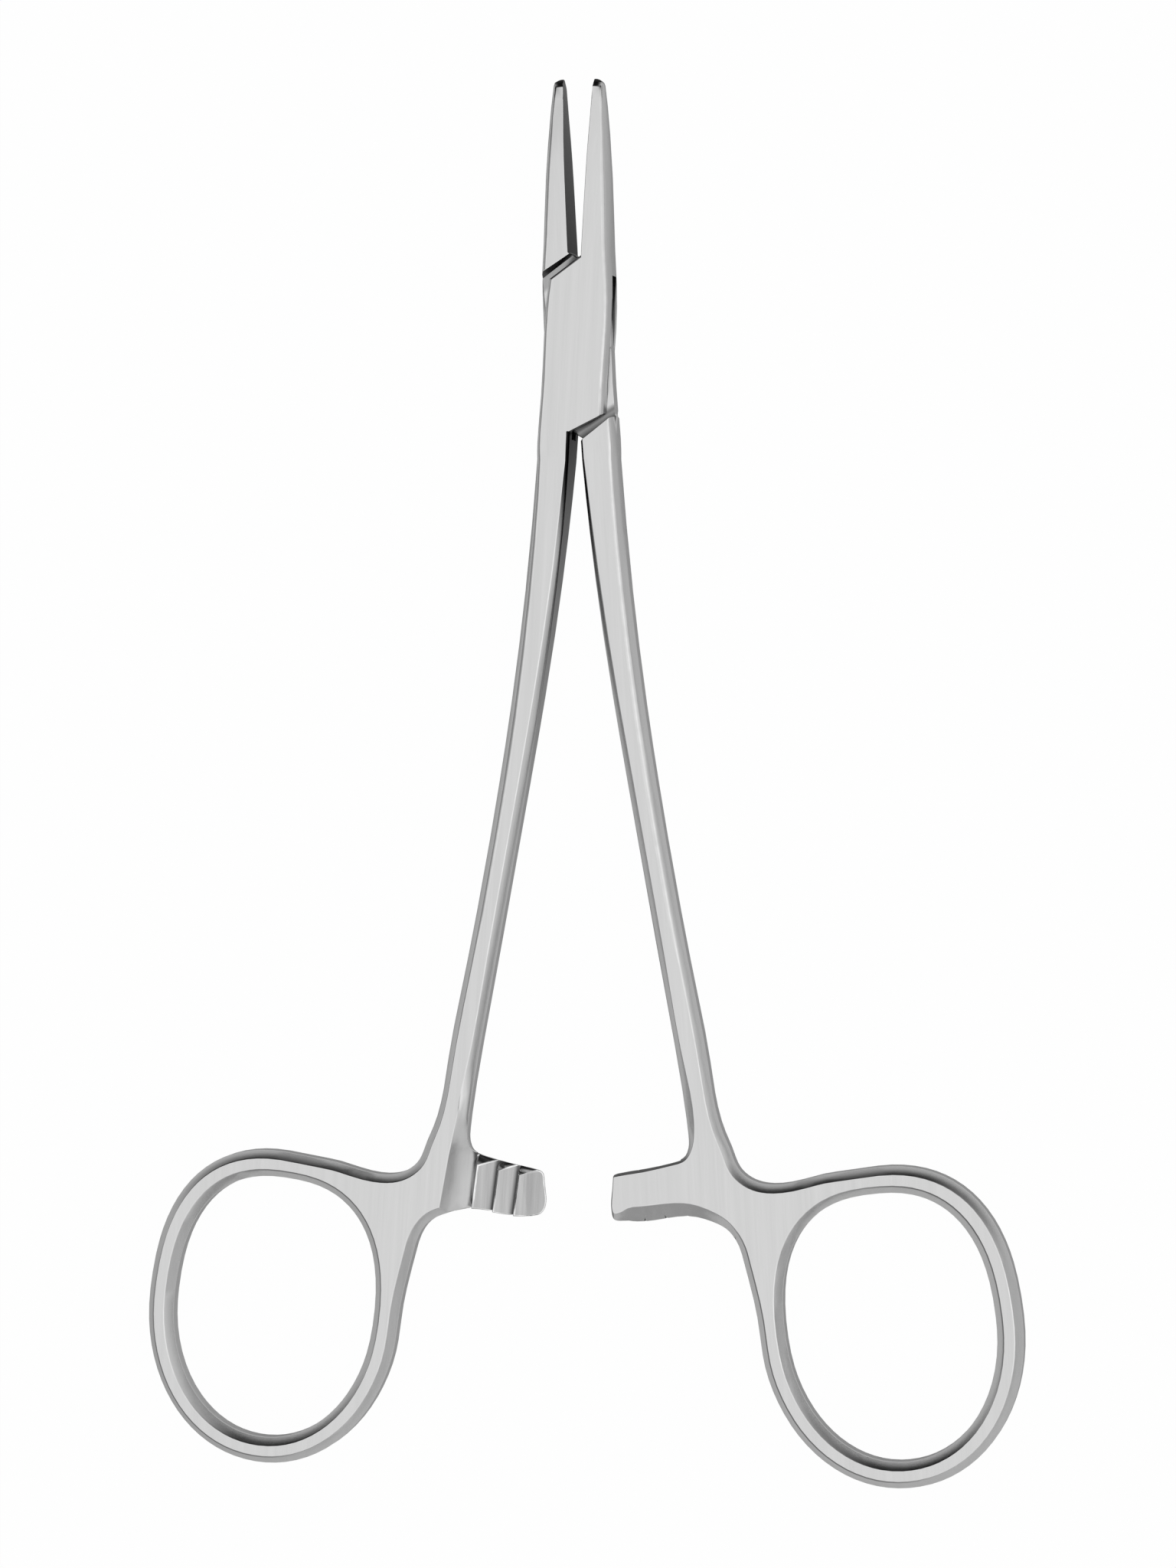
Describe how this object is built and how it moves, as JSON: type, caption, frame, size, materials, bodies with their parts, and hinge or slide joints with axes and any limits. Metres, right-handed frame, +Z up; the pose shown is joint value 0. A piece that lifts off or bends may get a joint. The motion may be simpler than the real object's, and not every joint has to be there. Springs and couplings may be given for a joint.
{
  "type": "surgical needle holder",
  "caption": "Surgical needle holder with a box lock, straight smooth jaws, finger rings and a stepped ratchet, lying partly open.",
  "frame": {"origin": "on the pivot axis, in the flat underside of the box", "axes": "+Y towards the jaw tips, +X towards the ring of the through half, +Z up from the surface that the instrument lies on"},
  "size_m": [0.0818, 0.1271, 0.0044],
  "materials": {
    "satin_steel": "satin brushed stainless steel, grain along the instrument"
  },
  "bodies": {
    "box_body": {"box_half": "satin_steel", "pivot_pin": "satin_steel"},
    "through_body": {"through_half": "satin_steel"}
  },
  "joints": [
    {"name": "box_lock", "type": "hinge", "parent": "box_body", "child": "through_body", "pos_m": [0, 0, 0.0022], "axis": [0, 0, 1], "range_deg": [-6.6, 30]}
  ]
}
